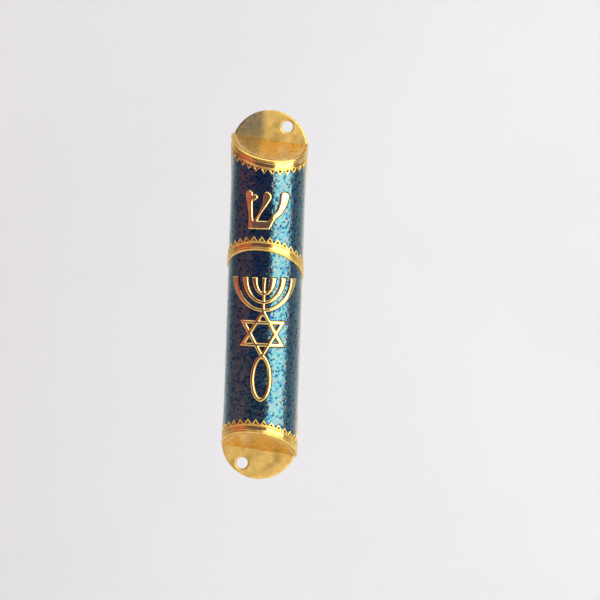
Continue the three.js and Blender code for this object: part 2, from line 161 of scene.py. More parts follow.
# ---- Plate ----
PLATE_CELL = 0.25
PLATE_ROUNDING = 0.34
PLATE_BACK_ROUNDING = 0.2
NAIL_HOLE_RADIUS = 1.6
NAIL_HOLE_CHAMFER = 0.3
CHAMFER_START = 0.4  # height of the chamfer's foot, as a share of the front half
NAIL_HOLE_FROM_TIP = 4.5
NAIL_HOLE_OFFSET = 4.8
WAVE_DEPTH = 0.03  # of the bent ears
WAVE_TURN = (0.35, 0.16)  # radians for each mm of X and Z
WAVE_START = (0.6, 0.4)
WAVE_FADE = (0.3, 1.2)  # from an edge
EAR_BLEND = 3  # from the case's ends
LEDGE_TRIM = 0.22  # the plate is narrower behind the case

# ---- Wall and ends ----
WALL_COLUMNS = 150
WALL_ROWS = 60
CAP_THICKNESS = 0.8
CAP_RECESS = 0.25
CAP_CELL = 0.2
CAP_DISH = 0.12
CAP_DISH_REACH = 5
CAP_ROUNDING = 0.25
CAP_OUTER_DROP = 0.12  # how far the rounded edge falls back
CAP_INNER_DROP = -0.05

# ---- Clips ----
CLIP_THICKNESS = 0.35
CLIP_LENGTH = 5.0
CLIP_INSET = 16.0  # from the case's ends
CLIP_GRIP_HEIGHT = 1.7
CLIP_ARM_HEIGHT = 4.1
CLIP_LEAD_IN = 1.2
CLIP_FOOT_SETBACK = 0.6
CLIP_BEND = 0.5
CLIP_ROUNDING = 0.12
CLIP_EDGE = 0.01  # keeps a cut edge open
CLIP_ROWS = 21

# ---- Rivets ----
RIVET_HEAD_DIAMETER = 3.0
RIVET_HEAD_HEIGHT = 0.35
RIVET_HEAD_EDGE = 0.04
RIVET_HEAD_LIP = 0.05
RIVET_DOME_START = 0.02  # radians from the axis
RIVET_DOME_STEPS = 12
RIVET_TAIL_DIAMETER = 2.5
RIVET_TAIL_DEPTH = 0.5
RIVET_TAIL_CONE = 0.2
RIVET_TAIL_BEVEL = 0.06
RIVET_TAIL_CORE = 0.01
RIVET_SHANK_DIAMETER = 1.5
RIVET_GAP = 0.06
RIVET_TURNS = 40

# ---- Scroll ----
SCROLL_DIAMETER = 5.9
SCROLL_TURNS = 8
SCROLL_PITCH = 0.26
SCROLL_START = 0.9  # angle of the loose edge
SCROLL_DRIFT = 0.35  # how far a turn may stop short of the ends
PAPER = 0.12
STEPS_PER_TURN = 56
SCROLL_ROWS = 33

# ---- Sizes read from the frame ----
enamel_low, enamel_high = (np.array(c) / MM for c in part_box("enamel_upper"))
plate_low, plate_high = (np.array(c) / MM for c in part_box("back_plate"))
scroll_low, scroll_high = (np.array(c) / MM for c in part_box("scroll"))
R = (enamel_high[0] - enamel_low[0]) / 2
FOOT_Y = enamel_high[1]
CREST = FOOT_Y - enamel_low[1]
PERIMETER = math.pi * R + 2 * SKIRT
WALL_OUT = -ENAMEL_DEPTH - SEAT_GAP
WALL_IN = WALL_OUT - WALL
PLATE_LENGTH = plate_high[2] - plate_low[2]
PLATE_WIDTH = plate_high[0] - plate_low[0]
PLATE_THICKNESS = plate_high[1] - plate_low[1]
CREST_HALF = CASE_LENGTH / 2 - END_LEAN * CREST
MIDDLE_CREST_Z = CREST_HALF * (2 * MIDDLE_BAND_SHARE - 1)
CLIP_Z = CASE_LENGTH / 2 - CLIP_INSET


# ---- Meshes ----


def arch(s, out):
    """x and height of the arched section, s mm along the enamel's face from the left foot."""
    s, out = np.broadcast_arrays(np.asarray(s, float), np.asarray(out, float))
    angle = np.pi - (np.clip(s, SKIRT, PERIMETER - SKIRT) - SKIRT) / R
    x = (R + out) * np.cos(angle)
    height = SKIRT + (R + out) * np.sin(angle)
    height = np.where(s > PERIMETER - SKIRT, PERIMETER - s, height)
    height = np.where(s < SKIRT, s, height)
    return x, height


def level(z_at_foot, lean):
    """A leaning, slanting plane across the case: its Z at a point of the section."""
    return lambda x, height: z_at_foot + lean * height - BAND_SLANT * x


TOP_END = level(CASE_LENGTH / 2, -END_LEAN)
BOTTOM_END = level(-CASE_LENGTH / 2, END_LEAN)
MIDDLE_EDGE = level(MIDDLE_CREST_Z - END_LEAN * CREST, END_LEAN)


def make_piece(name, points, faces, material, body, node, slot, sharp=None):
    """A smooth-shaded mesh from points in mm, riding on a body in place of a CAD node."""
    mesh = bpy.data.meshes.new(name)
    mesh.from_pydata((np.asarray(points, float) * MM).tolist(), [], [list(f) for f in faces])
    mesh.validate()
    mesh.shade_smooth()
    if sharp:
        mesh.set_sharp_from_angle(angle=math.radians(sharp))
    mesh.materials.append(material)
    piece = bpy.data.objects.new(name, mesh)
    bpy.context.scene.collection.objects.link(piece)
    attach(piece, body)
    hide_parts(node)
    return piece


def mark(piece, name, values):
    """Keeps one number for each point of a mesh, for its material to read."""
    attribute = piece.data.attributes.new(name, "FLOAT", "POINT")
    attribute.data.foreach_set("value", np.asarray(values, np.float32))


def grid_faces(rows, columns, start=0, flip=False):
    """Quads of a grid of points."""
    i, j = np.meshgrid(np.arange(rows - 1), np.arange(columns - 1), indexing="ij")
    a = (start + i * columns + j).ravel()
    quads = np.stack([a, a + 1, a + columns + 1, a + columns], axis=1)
    return quads[:, ::-1] if flip else quads


def border(rows, columns):
    """The points round a grid, in order."""
    first = [(0, j) for j in range(columns)]
    last = [(rows - 1, j) for j in reversed(range(columns))]
    right = [(i, columns - 1) for i in range(1, rows - 1)]
    left = [(i, 0) for i in reversed(range(1, rows - 1))]
    return [i * columns + j for i, j in first + right + last + left]


def two_sided(outer, inner):
    """A closed solid from two grids of points, one in front of the other."""
    rows, columns = outer.shape[:2]
    count = rows * columns
    points = np.concatenate([outer.reshape(-1, 3), inner.reshape(-1, 3)])
    faces = grid_faces(rows, columns).tolist()
    faces += grid_faces(rows, columns, count, flip=True).tolist()
    ring = border(rows, columns)
    for a, b in zip(ring, ring[1:] + ring[:1]):
        faces.append([b, a, a + count, b + count])
    return points, faces


def on_case(s, out, z_at):
    """Points of the case's skin. `z_at` gives Z from x and height."""
    x, height = arch(s, out)
    return np.stack([x, FOOT_Y - height, z_at(x, height)], axis=-1)


def smoothstep(low, high, value):
    """0 below `low`, 1 above `high` and a smooth rise between them."""
    t = np.clip((value - low) / (high - low), 0, 1)
    return t * t * (3 - 2 * t)


def quarter_round(depth, radius):
    """0 at an edge and 1 from `radius` inwards, as a quarter circle."""
    t = np.clip(depth / radius, 0, 1)
    return np.sqrt(1 - (1 - t) ** 2)


def cell_distance(u, v, size, seed):
    """Distances to the nearest and second nearest of scattered points, one in each square."""
    rng = np.random.default_rng(seed)
    side = SCATTER_SIDE
    points = rng.uniform(SCATTER_MARGIN, 1 - SCATTER_MARGIN, (side, side, 2))
    iu, iv = np.floor(u / size).astype(int), np.floor(v / size).astype(int)
    nearest = np.full(u.shape, FAR)
    second = np.full(u.shape, FAR)
    for du in (-1, 0, 1):
        for dv in (-1, 0, 1):
            jitter = points[(iu + du) % side, (iv + dv) % side]
            pu = (iu + du + jitter[..., 0]) * size
            pv = (iv + dv + jitter[..., 1]) * size
            d = np.hypot(u - pu, v - pv)
            second = np.minimum(second, np.maximum(nearest, d))
            nearest = np.minimum(nearest, d)
    return nearest, second


# ---- Outlines as distances: negative inside ----


def strokes_distance(x, z, lines):
    """Distance to round strokes. A line is a list of (x, z, width), close together."""
    best = np.full(x.shape, FAR)
    for line in lines:
        for (x0, z0, w0), (x1, z1, w1) in zip(line, line[1:]):
            ax, az = x1 - x0, z1 - z0
            t = np.clip(((x - x0) * ax + (z - z0) * az) / max(ax * ax + az * az, 1e-9), 0, 1)
            d = np.hypot(x - x0 - t * ax, z - z0 - t * az) - (w0 + t * (w1 - w0)) / 2
            best = np.minimum(best, d)
    return best


def smooth_line(points, steps=18):
    """A smooth line, a Catmull-Rom curve, through a few (x, z, width) points."""
    p = np.array(points, float)
    p = np.concatenate([[2 * p[0] - p[1]], p, [2 * p[-1] - p[-2]]])
    line = []
    for a, b, c, d in zip(p, p[1:], p[2:], p[3:]):
        square = 2 * a - 5 * b + 4 * c - d
        cube = 3 * b - a - 3 * c + d
        for t in np.linspace(0, 1, steps, endpoint=False):
            line.append((2 * b + (c - a) * t + square * t * t + cube * t**3) / 2)
    return [tuple(q) for q in line] + [tuple(p[-2])]


def triangle_distance(x, z, centre_z, radius, way):
    """Distance to a triangle with one corner straight up (way 1) or down (way -1)."""
    best = np.full(x.shape, -FAR)
    for degrees in (270, 30, 150):
        angle = math.radians(degrees)
        side = x * math.cos(angle) + way * (z - centre_z) * math.sin(angle) - radius / 2
        best = np.maximum(best, side)
    return best


def contour_grid(distance, xs, zs):
    """Faces that cover where distance < 0 on a grid, cut along its edge, and their 2D points."""
    sliver = 0.012  # points this near the edge count as inside, so that no thin faces appear
    value = distance.copy()
    value[np.abs(value) < sliver] = -sliver
    nx, nz = value.shape
    ids, points = {}, []

    def node(i, j):
        key = (i, j)
        if key not in ids:
            ids[key] = len(points)
            points.append((xs[i], zs[j]))
        return ids[key]

    def crossing(i0, j0, i1, j1):
        key = (i0, j0, i1, j1) if (i0, j0) < (i1, j1) else (i1, j1, i0, j0)
        if key not in ids:
            a, b = value[key[0], key[1]], value[key[2], key[3]]
            t = a / (a - b)
            ids[key] = len(points)
            points.append(
                (
                    xs[key[0]] + t * (xs[key[2]] - xs[key[0]]),
                    zs[key[1]] + t * (zs[key[3]] - zs[key[1]]),
                )
            )
        return ids[key]

    inside = value < 0
    any_in = inside[:-1, :-1] | inside[1:, :-1] | inside[1:, 1:] | inside[:-1, 1:]
    faces = []
    for i, j in np.argwhere(any_in):
        corners = [(i, j), (i + 1, j), (i + 1, j + 1), (i, j + 1)]
        flags = [inside[c] for c in corners]
        if all(flags):
            faces.append([node(*c) for c in corners])
            continue
        if flags in ([True, False, True, False], [False, True, False, True]):
            for k in range(4):
                if flags[k]:
                    a, b, c = corners[k], corners[(k + 1) % 4], corners[k - 1]
                    faces.append([node(*a), crossing(*a, *b), crossing(*a, *c)])
            continue
        face = []
        for k in range(4):
            a, b = corners[k], corners[(k + 1) % 4]
            if flags[k]:
                face.append(node(*a))
            if flags[k] != flags[(k + 1) % 4]:
                face.append(crossing(*a, *b))
        faces.append(face)
    return np.array(points), faces


def relief_solid(flat, faces, place_front, place_back):
    """A closed solid: the same flat faces placed in front and, turned round, behind."""
    count = len(flat)
    edges = dict.fromkeys((a, b) for face in faces for a, b in zip(face, face[1:] + face[:1]))
    walls = [[b, a, a + count, b + count] for a, b in edges if (b, a) not in edges]
    front = [list(f) for f in faces]
    back = [[i + count for i in reversed(f)] for f in faces]
    return np.concatenate([place_front(flat), place_back(flat)]), front + back + walls


def sample(distance, xs, zs, flat):
    """The distance field at points between grid nodes."""
    fx = np.clip((flat[:, 0] - xs[0]) / (xs[1] - xs[0]), 0, len(xs) - 1.001)
    fz = np.clip((flat[:, 1] - zs[0]) / (zs[1] - zs[0]), 0, len(zs) - 1.001)
    i, j = fx.astype(int), fz.astype(int)
    u, v = fx - i, fz - j
    return (
        distance[i, j] * (1 - u) * (1 - v)
        + distance[i + 1, j] * u * (1 - v)
        + distance[i, j + 1] * (1 - u) * v
        + distance[i + 1, j + 1] * u * v
    )


# ---- Materials ----


def new_material(name):
    """A material, its nodes and links, its shader, and the object's coordinates in mm."""
    material = bpy.data.materials.new(name)
    material.use_nodes = True
    nodes, links = material.node_tree.nodes, material.node_tree.links
    shader = nodes["Principled BSDF"]
    where = nodes.new("ShaderNodeTexCoord")
    scale = nodes.new("ShaderNodeVectorMath")
    scale.operation = "SCALE"
    scale.inputs["Scale"].default_value = 1 / MM
    links.new(where.outputs["Object"], scale.inputs[0])
    return material, nodes, links, shader, scale.outputs[0]


def noise(nodes, links, vector, scale, detail=3.0, roughness=0.5):
    node = nodes.new("ShaderNodeTexNoise")
    node.inputs["Scale"].default_value = scale
    node.inputs["Detail"].default_value = detail
    node.inputs["Roughness"].default_value = roughness
    links.new(vector, node.inputs["Vector"])
    return node.outputs["Fac"]


def stretched(nodes, links, vector, factors):
    node = nodes.new("ShaderNodeVectorMath")
    node.operation = "MULTIPLY"
    node.inputs[1].default_value = factors
    links.new(vector, node.inputs[0])
    return node.outputs[0]


def ramp(nodes, links, value, stops):
    """Colours by value. stops: (position, colour)"""
    node = nodes.new("ShaderNodeValToRGB")
    elements = node.color_ramp.elements
    while len(elements) < len(stops):
        elements.new(0.5)
    for element, (position, colour) in zip(elements, stops):
        element.position = position
        element.color = (*colour, 1)
    links.new(value, node.inputs["Fac"])
    return node.outputs["Color"]


def span(nodes, links, value, low, high, start=0.0, end=1.0):
    """value from start..end moved to low..high."""
    node = nodes.new("ShaderNodeMapRange")
    node.inputs["From Min"].default_value = start
    node.inputs["From Max"].default_value = end
    node.inputs["To Min"].default_value = low
    node.inputs["To Max"].default_value = high
    links.new(value, node.inputs["Value"])
    return node.outputs["Result"]


def arithmetic(nodes, links, operation, a, b):
    """A Math node. a and b are numbers or sockets."""
    node = nodes.new("ShaderNodeMath")
    node.operation = operation
    for socket, value in zip(node.inputs, (a, b)):
        if isinstance(value, (int, float)):
            socket.default_value = value
        else:
            links.new(value, socket)
    return node.outputs[0]


def blend_colours(nodes, links, amount, a, b):
    """From a to b by amount. a and b are colours or sockets."""
    node = nodes.new("ShaderNodeMix")
    node.data_type = "RGBA"
    links.new(amount, node.inputs["Factor"])
    for socket, value in ((node.inputs["A"], a), (node.inputs["B"], b)):
        if isinstance(value, tuple):
            socket.default_value = (*value, 1)
        else:
            links.new(value, socket)
    return node.outputs["Result"]


def multiply_colours(nodes, links, a, b):
    node = nodes.new("ShaderNodeMix")
    node.data_type = "RGBA"
    node.blend_type = "MULTIPLY"
    node.clamp_result = False
    node.inputs["Factor"].default_value = 1.0
    links.new(a, node.inputs["A"])
    links.new(b, node.inputs["B"])
    return node.outputs["Result"]


def bump(nodes, links, height, distance):
    """A surface normal tilted by height. The distance is in mm."""
    node = nodes.new("ShaderNodeBump")
    node.inputs["Distance"].default_value = distance * MM
    node.inputs["Strength"].default_value = 1.0
    links.new(height, node.inputs["Height"])
    return node.outputs["Normal"]


def gold(name, dark, light, rough_low, rough_high, shade_colour=None):
    """Polished gold plating: cloudy colour, fingerprints and fine scratches. With a shade colour,
    painted shade darkens it where the mesh's point attribute is below 1."""
    material, nodes, links, shader, where = new_material(name)
    shader.inputs["Metallic"].default_value = 1.0
    cloud = noise(nodes, links, where, scale=0.55, detail=4.0)
    colour = ramp(nodes, links, cloud, [(0.3, dark), (0.7, light)])
    if shade_colour:
        # Painted shade: the shade colour wherever the mesh's point attribute is below 1
        unshaded = nodes.new("ShaderNodeAttribute")
        unshaded.attribute_name = "unshaded"
        colour = blend_colours(nodes, links, unshaded.outputs["Fac"], shade_colour, colour)
    links.new(colour, shader.inputs["Base Color"])
    smear = noise(nodes, links, where, scale=1.7, detail=5.0, roughness=0.65)
    rough = span(nodes, links, smear, rough_low, rough_high, start=0.3, end=0.7)
    links.new(rough, shader.inputs["Roughness"])
    long_way = stretched(nodes, links, where, (3.0, 3.0, 0.5))
    fine = noise(nodes, links, long_way, scale=4.0, detail=3.0, roughness=0.6)
    scratches = arithmetic(nodes, links, "MULTIPLY", fine, 0.004)
    swell = noise(nodes, links, where, scale=0.9, detail=2.0)
    height = arithmetic(nodes, links, "ADD", scratches, swell)
    links.new(bump(nodes, links, height, distance=0.035), shader.inputs["Normal"])
    return material


def plate_gold():
    """Satin gold plating with a brown and olive stain on one corner."""
    material, nodes, links, shader, where = new_material("stained_gold_plate")
    shader.inputs["Metallic"].default_value = 1.0
    cloud = noise(nodes, links, where, scale=0.3, detail=5.0, roughness=0.6)
    tones = [(0.3, (0.6, 0.4, 0.1)), (0.5, (0.86, 0.58, 0.15)), (0.7, (1.0, 0.72, 0.22))]
    base = ramp(nodes, links, cloud, tones)
    split = nodes.new("ShaderNodeSeparateXYZ")
    links.new(where, split.inputs[0])
    up = span(nodes, links, split.outputs["Z"], 0.0, 1.0, start=40.0, end=46.0)
    left = span(nodes, links, split.outputs["X"], 0.0, 1.0, start=-0.8, end=-3.0)
    corner = arithmetic(nodes, links, "MULTIPLY", up, left)
    patch = noise(nodes, links, where, scale=0.5, detail=4.0, roughness=0.65)
    mottle = span(nodes, links, patch, 0.6, 1.0, start=0.35, end=0.6)
    darkening = arithmetic(nodes, links, "MULTIPLY", corner, mottle)
    colour = blend_colours(nodes, links, darkening, base, (0.24, 0.2, 0.11))
    links.new(colour, shader.inputs["Base Color"])
    rough = span(nodes, links, patch, 0.42, 0.6, start=0.3, end=0.7)
    links.new(rough, shader.inputs["Roughness"])
    along = stretched(nodes, links, where, (0.6, 1.0, 3.0))
    grain = noise(nodes, links, along, scale=3.0, detail=3.0, roughness=0.6)
    links.new(bump(nodes, links, grain, distance=0.008), shader.inputs["Normal"])
    return material


def enamel_blue():
    """Clear enamel over hammered metal: patches of blue, teal, green and grey, darker in each
    dimple, under a glossy coat."""
    material, nodes, links, shader, where = new_material("blue_enamel")
    shader.inputs["Metallic"].default_value = 1.0
    shader.inputs["Coat Roughness"].default_value = 0.08
    shader.inputs["Coat IOR"].default_value = 1.5

    # Dimples: cells whose edges wander.
    cells = nodes.new("ShaderNodeTexVoronoi")
    cells.feature = "SMOOTH_F1"
    cells.inputs["Scale"].default_value = 0.95
    cells.inputs["Smoothness"].default_value = 0.2
    wander = nodes.new("ShaderNodeTexNoise")
    wander.inputs["Scale"].default_value = 1.1
    links.new(where, wander.inputs["Vector"])
    bent = nodes.new("ShaderNodeVectorMath")
    bent.operation = "MULTIPLY_ADD"
    bent.inputs[1].default_value = (1.1, 1.1, 1.1)
    links.new(wander.outputs["Color"], bent.inputs[0])
    links.new(where, bent.inputs[2])
    links.new(bent.outputs[0], cells.inputs["Vector"])
    depth = cells.outputs["Distance"]

    # Colour: patches, darkened by spots.
    patches = noise(nodes, links, where, scale=0.75, detail=3.0, roughness=0.65)
    tints = [
        (0.36, (0.015, 0.085, 0.18)),
        (0.44, (0.03, 0.15, 0.175)),
        (0.54, (0.09, 0.2, 0.165)),
        (0.63, (0.115, 0.125, 0.15)),
    ]
    net = ramp(nodes, links, patches, tints)
    uneven = noise(nodes, links, where, scale=1.9, detail=2.0, roughness=0.5)
    half_uneven = arithmetic(nodes, links, "MULTIPLY", uneven, 0.5)
    worn = arithmetic(nodes, links, "ADD", depth, half_uneven)
    spots = [(0.48, (0.08, 0.22, 0.36)), (0.64, (1.0, 1.0, 1.0))]
    colour = multiply_colours(nodes, links, net, ramp(nodes, links, worn, spots))
    links.new(colour, shader.inputs["Base Color"])

    # Gloss: the coat thins out on the ridges.
    coat = span(nodes, links, worn, 0.1, 0.6, start=0.5, end=0.66)
    links.new(coat, shader.inputs["Coat Weight"])
    rough = span(nodes, links, depth, 0.2, 0.1, start=0.1, end=0.6)
    links.new(rough, shader.inputs["Roughness"])
    fine = noise(nodes, links, where, scale=2.0, detail=2.0, roughness=0.6)
    half_fine = arithmetic(nodes, links, "MULTIPLY", fine, 0.5)
    height = arithmetic(nodes, links, "ADD", depth, half_fine)
    links.new(bump(nodes, links, height, distance=0.07), shader.inputs["Normal"])
    glint = noise(nodes, links, where, scale=1.5, detail=2.0, roughness=0.6)
    links.new(bump(nodes, links, glint, distance=0.12), shader.inputs["Coat Normal"])
    return material


def bronze():
    """Spring strip with rolling marks along it."""
    material, nodes, links, shader, where = new_material("spring_bronze")
    shader.inputs["Metallic"].default_value = 1.0
    along = stretched(nodes, links, where, (0.4, 0.4, 6.0))
    lines = noise(nodes, links, along, scale=2.0, detail=3.0, roughness=0.7)
    tones = [(0.3, (0.5, 0.3, 0.14)), (0.7, (0.68, 0.44, 0.22))]
    links.new(ramp(nodes, links, lines, tones), shader.inputs["Base Color"])
    rough = span(nodes, links, lines, 0.25, 0.42, start=0.3, end=0.7)
    links.new(rough, shader.inputs["Roughness"])
    links.new(bump(nodes, links, lines, distance=0.008), shader.inputs["Normal"])
    return material


def paper():
    """Off-white paper with faint fibres."""
    material, nodes, links, shader, where = new_material("scroll_paper")
    shader.inputs["Roughness"].default_value = 0.85
    along = stretched(nodes, links, where, (3.0, 3.0, 0.8))
    fibres = noise(nodes, links, along, scale=2.5, detail=4.0, roughness=0.7)
    cloud = noise(nodes, links, where, scale=0.15, detail=2.0)
    total = arithmetic(nodes, links, "ADD", fibres, cloud)
    both = arithmetic(nodes, links, "MULTIPLY", total, 0.5)
    tones = [(0.3, (0.74, 0.7, 0.6)), (0.65, (0.88, 0.86, 0.8))]
    links.new(ramp(nodes, links, both, tones), shader.inputs["Base Color"])
    links.new(bump(nodes, links, fibres, distance=0.02), shader.inputs["Normal"])
    return material


# Colours of painted shade: brown for the bands' grooves and tooth hollows, blue-black for the
# foot round the letter and emblem.
PAINTED_GROOVE_SHADE = (0.1, 0.05, 0.015)
PAINTED_FOOT_SHADE = (0.012, 0.012, 0.03)

band_gold = gold("band_gold", (0.86, 0.47, 0.08), (1.0, 0.7, 0.2), 0.1, 0.22, PAINTED_GROOVE_SHADE)
emblem_gold = gold("emblem_gold", (0.86, 0.53, 0.13), (0.98, 0.74, 0.28), 0.1, 0.2, PAINTED_FOOT_SHADE)
shell_gold = gold("shell_gold", (0.7, 0.44, 0.13), (0.86, 0.58, 0.2), 0.22, 0.34)
rivet_brass = gold("rivet_brass", (0.6, 0.44, 0.17), (0.78, 0.6, 0.27), 0.22, 0.4)
plate_finish = plate_gold()
enamel = enamel_blue()
spring_bronze = bronze()
scroll_paper = paper()


# ---- Mounting plate ----


def back_plate():
    """A plate with round ends, a nail hole in each ear and two riveted holes behind the case."""
    half_x, half_z = PLATE_WIDTH / 2, PLATE_LENGTH / 2
    case_end = CASE_LENGTH / 2
    xs = np.arange(-half_x - 2 * PLATE_CELL, half_x + 3 * PLATE_CELL, PLATE_CELL)
    zs = np.arange(-half_z - 2 * PLATE_CELL, half_z + 3 * PLATE_CELL, PLATE_CELL)
    x, z = np.meshgrid(xs, zs, indexing="ij")
    outline = np.hypot(x, np.maximum(np.abs(z) - (half_z - half_x), 0)) - half_x
    outline = outline + LEDGE_TRIM * (1 - smoothstep(CLIP_Z, case_end - EAR_BLEND, np.abs(z)))
    nail_z = half_z - NAIL_HOLE_FROM_TIP
    upper_nail = np.hypot(x - NAIL_HOLE_OFFSET, z - nail_z)
    lower_nail = np.hypot(x + NAIL_HOLE_OFFSET, z + nail_z)
    nails = np.minimum(upper_nail, lower_nail)
    rivets = np.hypot(x, np.abs(z) - CLIP_Z)
    holes = np.maximum(NAIL_HOLE_RADIUS - nails, RIVET_TAIL_DIAMETER / 2 + RIVET_GAP - rivets)
    flat, faces = contour_grid(np.maximum(outline, holes), xs, zs)
    rim = -sample(outline, xs, zs, flat)
    inner = -sample(holes, xs, zs, flat)
    middle = plate_high[1] - PLATE_THICKNESS / 2
    across, along = (flat * WAVE_TURN + WAVE_START).T
    wave = np.sin(across) * np.cos(along) * WAVE_DEPTH
    ears = smoothstep(case_end, case_end + EAR_BLEND, np.abs(flat[:, 1]))

    def front(points):
        slope = np.clip(inner / NAIL_HOLE_CHAMFER, 0, 1)
        lift = np.minimum(quarter_round(rim, PLATE_ROUNDING), slope)
        chamfered = np.minimum(lift, CHAMFER_START + (1 - CHAMFER_START) * slope)
        y = middle - (PLATE_THICKNESS / 2) * np.where(inner < 1, chamfered, lift)
        y = y + np.abs(wave) * ears * smoothstep(*WAVE_FADE, np.minimum(rim, inner))
        return np.stack([points[:, 0], y, points[:, 1]], axis=1)

    def back(points):
        lift = quarter_round(np.minimum(rim, inner), PLATE_BACK_ROUNDING)
        y = middle + (PLATE_THICKNESS / 2) * lift
        return np.stack([points[:, 0], y, points[:, 1]], axis=1)

    points, solid = relief_solid(flat, faces, front, back)
    owner = "plate", "back_plate", "plate"
    make_piece("mounting_plate", points, solid, plate_finish, *owner, sharp=40)


back_plate()


# ---- Case shell and end caps ----


def case_shell():
    """The arched wall, between its two leaning ends."""
    s = np.linspace(0, PERIMETER, WALL_COLUMNS)[:, None]
    v = np.linspace(0, 1, WALL_ROWS)[None, :]

    def z_at(x, height):
        low, high = BOTTOM_END(x, height), TOP_END(x, height)
        return low + (high - low) * v

    outer = on_case(s + 0 * v, WALL_OUT, z_at)
    inner = on_case(s + 0 * v, WALL_IN, z_at)
    points, faces = two_sided(outer, inner)
    make_piece("case_wall", points, faces, shell_gold, "case", "case_shell", "shell", sharp=40)


case_shell()


def end_cap(name, node, end, way):
    """A slightly dished plate inside the wall. `way` is 1 at the top and -1 at the bottom."""
    reach = R + WALL_IN - SEAT_GAP
    xs = np.arange(-reach - 2 * CAP_CELL, reach + 3 * CAP_CELL, CAP_CELL)
    hs = np.arange(-2 * CAP_CELL, SKIRT + reach + 3 * CAP_CELL, CAP_CELL)
    x, height = np.meshgrid(xs, hs, indexing="ij")
    arched = np.hypot(x, np.maximum(height - SKIRT, 0)) - reach
    distance = np.maximum(arched, -height)
    flat, faces = contour_grid(distance, xs, hs)
    depth = -sample(distance, xs, hs, flat)

    def face(recess, edge_drop):
        def place(points):
            px, ph = points[:, 0], points[:, 1]
            z = end(px, ph) - way * recess
            z = z - way * edge_drop * (1 - quarter_round(depth, CAP_ROUNDING))
            z = z - way * CAP_DISH * smoothstep(0, CAP_DISH_REACH, depth)
            return np.stack([px, FOOT_Y - ph, z], axis=1)

        return place

    outside = face(CAP_RECESS, CAP_OUTER_DROP)
    inside = face(CAP_RECESS + CAP_THICKNESS, CAP_INNER_DROP)
    sides = (outside, inside) if way > 0 else (inside, outside)
    points, solid = relief_solid(flat, faces, *sides)
    make_piece(name, points, solid, shell_gold, "case", node, "shell", sharp=40)


end_cap("top_end", "end_cap_top", TOP_END, 1)
end_cap("bottom_end", "end_cap_bottom", BOTTOM_END, -1)


# ---- Crown bands ----


def strip_relief(strip):
    """Relief across a band: an outer rim, a bead, a crowned channel and an inner rim."""

    def ridge(centre, half, height):
        return height * np.sqrt(np.clip(1 - ((strip - centre) / half) ** 2, 0, 1))

    crown = np.cos((strip - BAND_WIDTH / 2) * math.pi / BAND_WIDTH)
    floor = CHANNEL_RELIEF + CHANNEL_CROWN * crown
    return np.maximum.reduce(
        [
            floor * quarter_round(strip, STRIP_ROUNDING),
            ridge(RIM_HALF, RIM_HALF, RIM_RELIEF),
            ridge(BEAD_CENTRE, BEAD_HALF, CHANNEL_RELIEF + BEAD_RELIEF),
            ridge(BAND_WIDTH - INNER_RIM_INSET, INNER_RIM_HALF, INNER_RIM_RELIEF),
        ]
    )


def strip_unshaded(strip):
    """1 where a band has no painted shade, and less in its two grooves, where shade is painted.
    """

    def groove(centre, darkening):
        return 1 - darkening * np.exp(-(((strip - centre) / GROOVE_HALF) ** 2))

    inner = groove(BAND_WIDTH - INNER_GROOVE_INSET, INNER_GROOVE_SHADE_SHARE)
    return groove(GROOVE_CENTRE, GROOVE_SHADE_SHARE) * inner


def crown_band(name, node, edge, way):
    """A band along an edge of the case, with its teeth above it (way 1) or below it (way -1)."""
    s = np.linspace(0, PERIMETER, TOOTH_COUNT * STEPS_PER_TOOTH + 1)
    share = (s / PERIMETER * TOOTH_COUNT) % 1
    tooth = SHORTEST_TOOTH + (TOOTH_HEIGHT - SHORTEST_TOOTH) * (1 - np.abs(2 * share - 1))
    strip = np.linspace(0, BAND_WIDTH, STRIP_STEPS)
    rows = np.linspace(0, 1, TOOTH_ROWS + 1)[1:]
    beyond = tooth[:, None] * rows[None, :]
    steep = math.cos(math.atan(TOOTH_HEIGHT / (PERIMETER / TOOTH_COUNT / 2)))
    inside = (tooth[:, None] - beyond) * steep
    hollow = TOOTH_HOLLOW * smoothstep(TOOTH_BORDER, TOOTH_BORDER + HOLLOW_SLOPE, inside)
    hollow = hollow * smoothstep(*HOLLOW_START, beyond)
    teeth = TOOTH_RELIEF * quarter_round(inside, TOOTH_ROUNDING) - hollow

    def joined(across, beside):
        return np.concatenate([np.repeat(across[None, :], len(s), axis=0), beside], axis=1)

    distance = joined(strip, BAND_WIDTH + beyond)
    relief = joined(strip_relief(strip), teeth)
    # Painted shade: darker in the two grooves and in the teeth's hollows
    unshaded = joined(strip_unshaded(strip), 1 - hollow / TOOTH_HOLLOW)

    def z_at(x, height):
        return edge(x, height) + way * distance

    around = s[:, None] + 0 * distance
    outer = on_case(around, relief, z_at)
    inner = on_case(around, -ENAMEL_DEPTH, z_at)
    points, faces = two_sided(outer, inner)
    if way < 0:
        faces = [list(reversed(f)) for f in faces]
    piece = make_piece(name, points, faces, band_gold, "case", node, "band")
    mark(piece, "unshaded", np.tile(unshaded.ravel(), 2))


crown_band("top_crown_band", "crown_band_top", TOP_END, -1)
crown_band("middle_crown_band", "crown_band_middle", MIDDLE_EDGE, 1)
crown_band("bottom_crown_band", "crown_band_bottom", BOTTOM_END, 1)


# ---- Enamel ----


def moved(plane, by):
    return lambda x, height: plane(x, height) + by


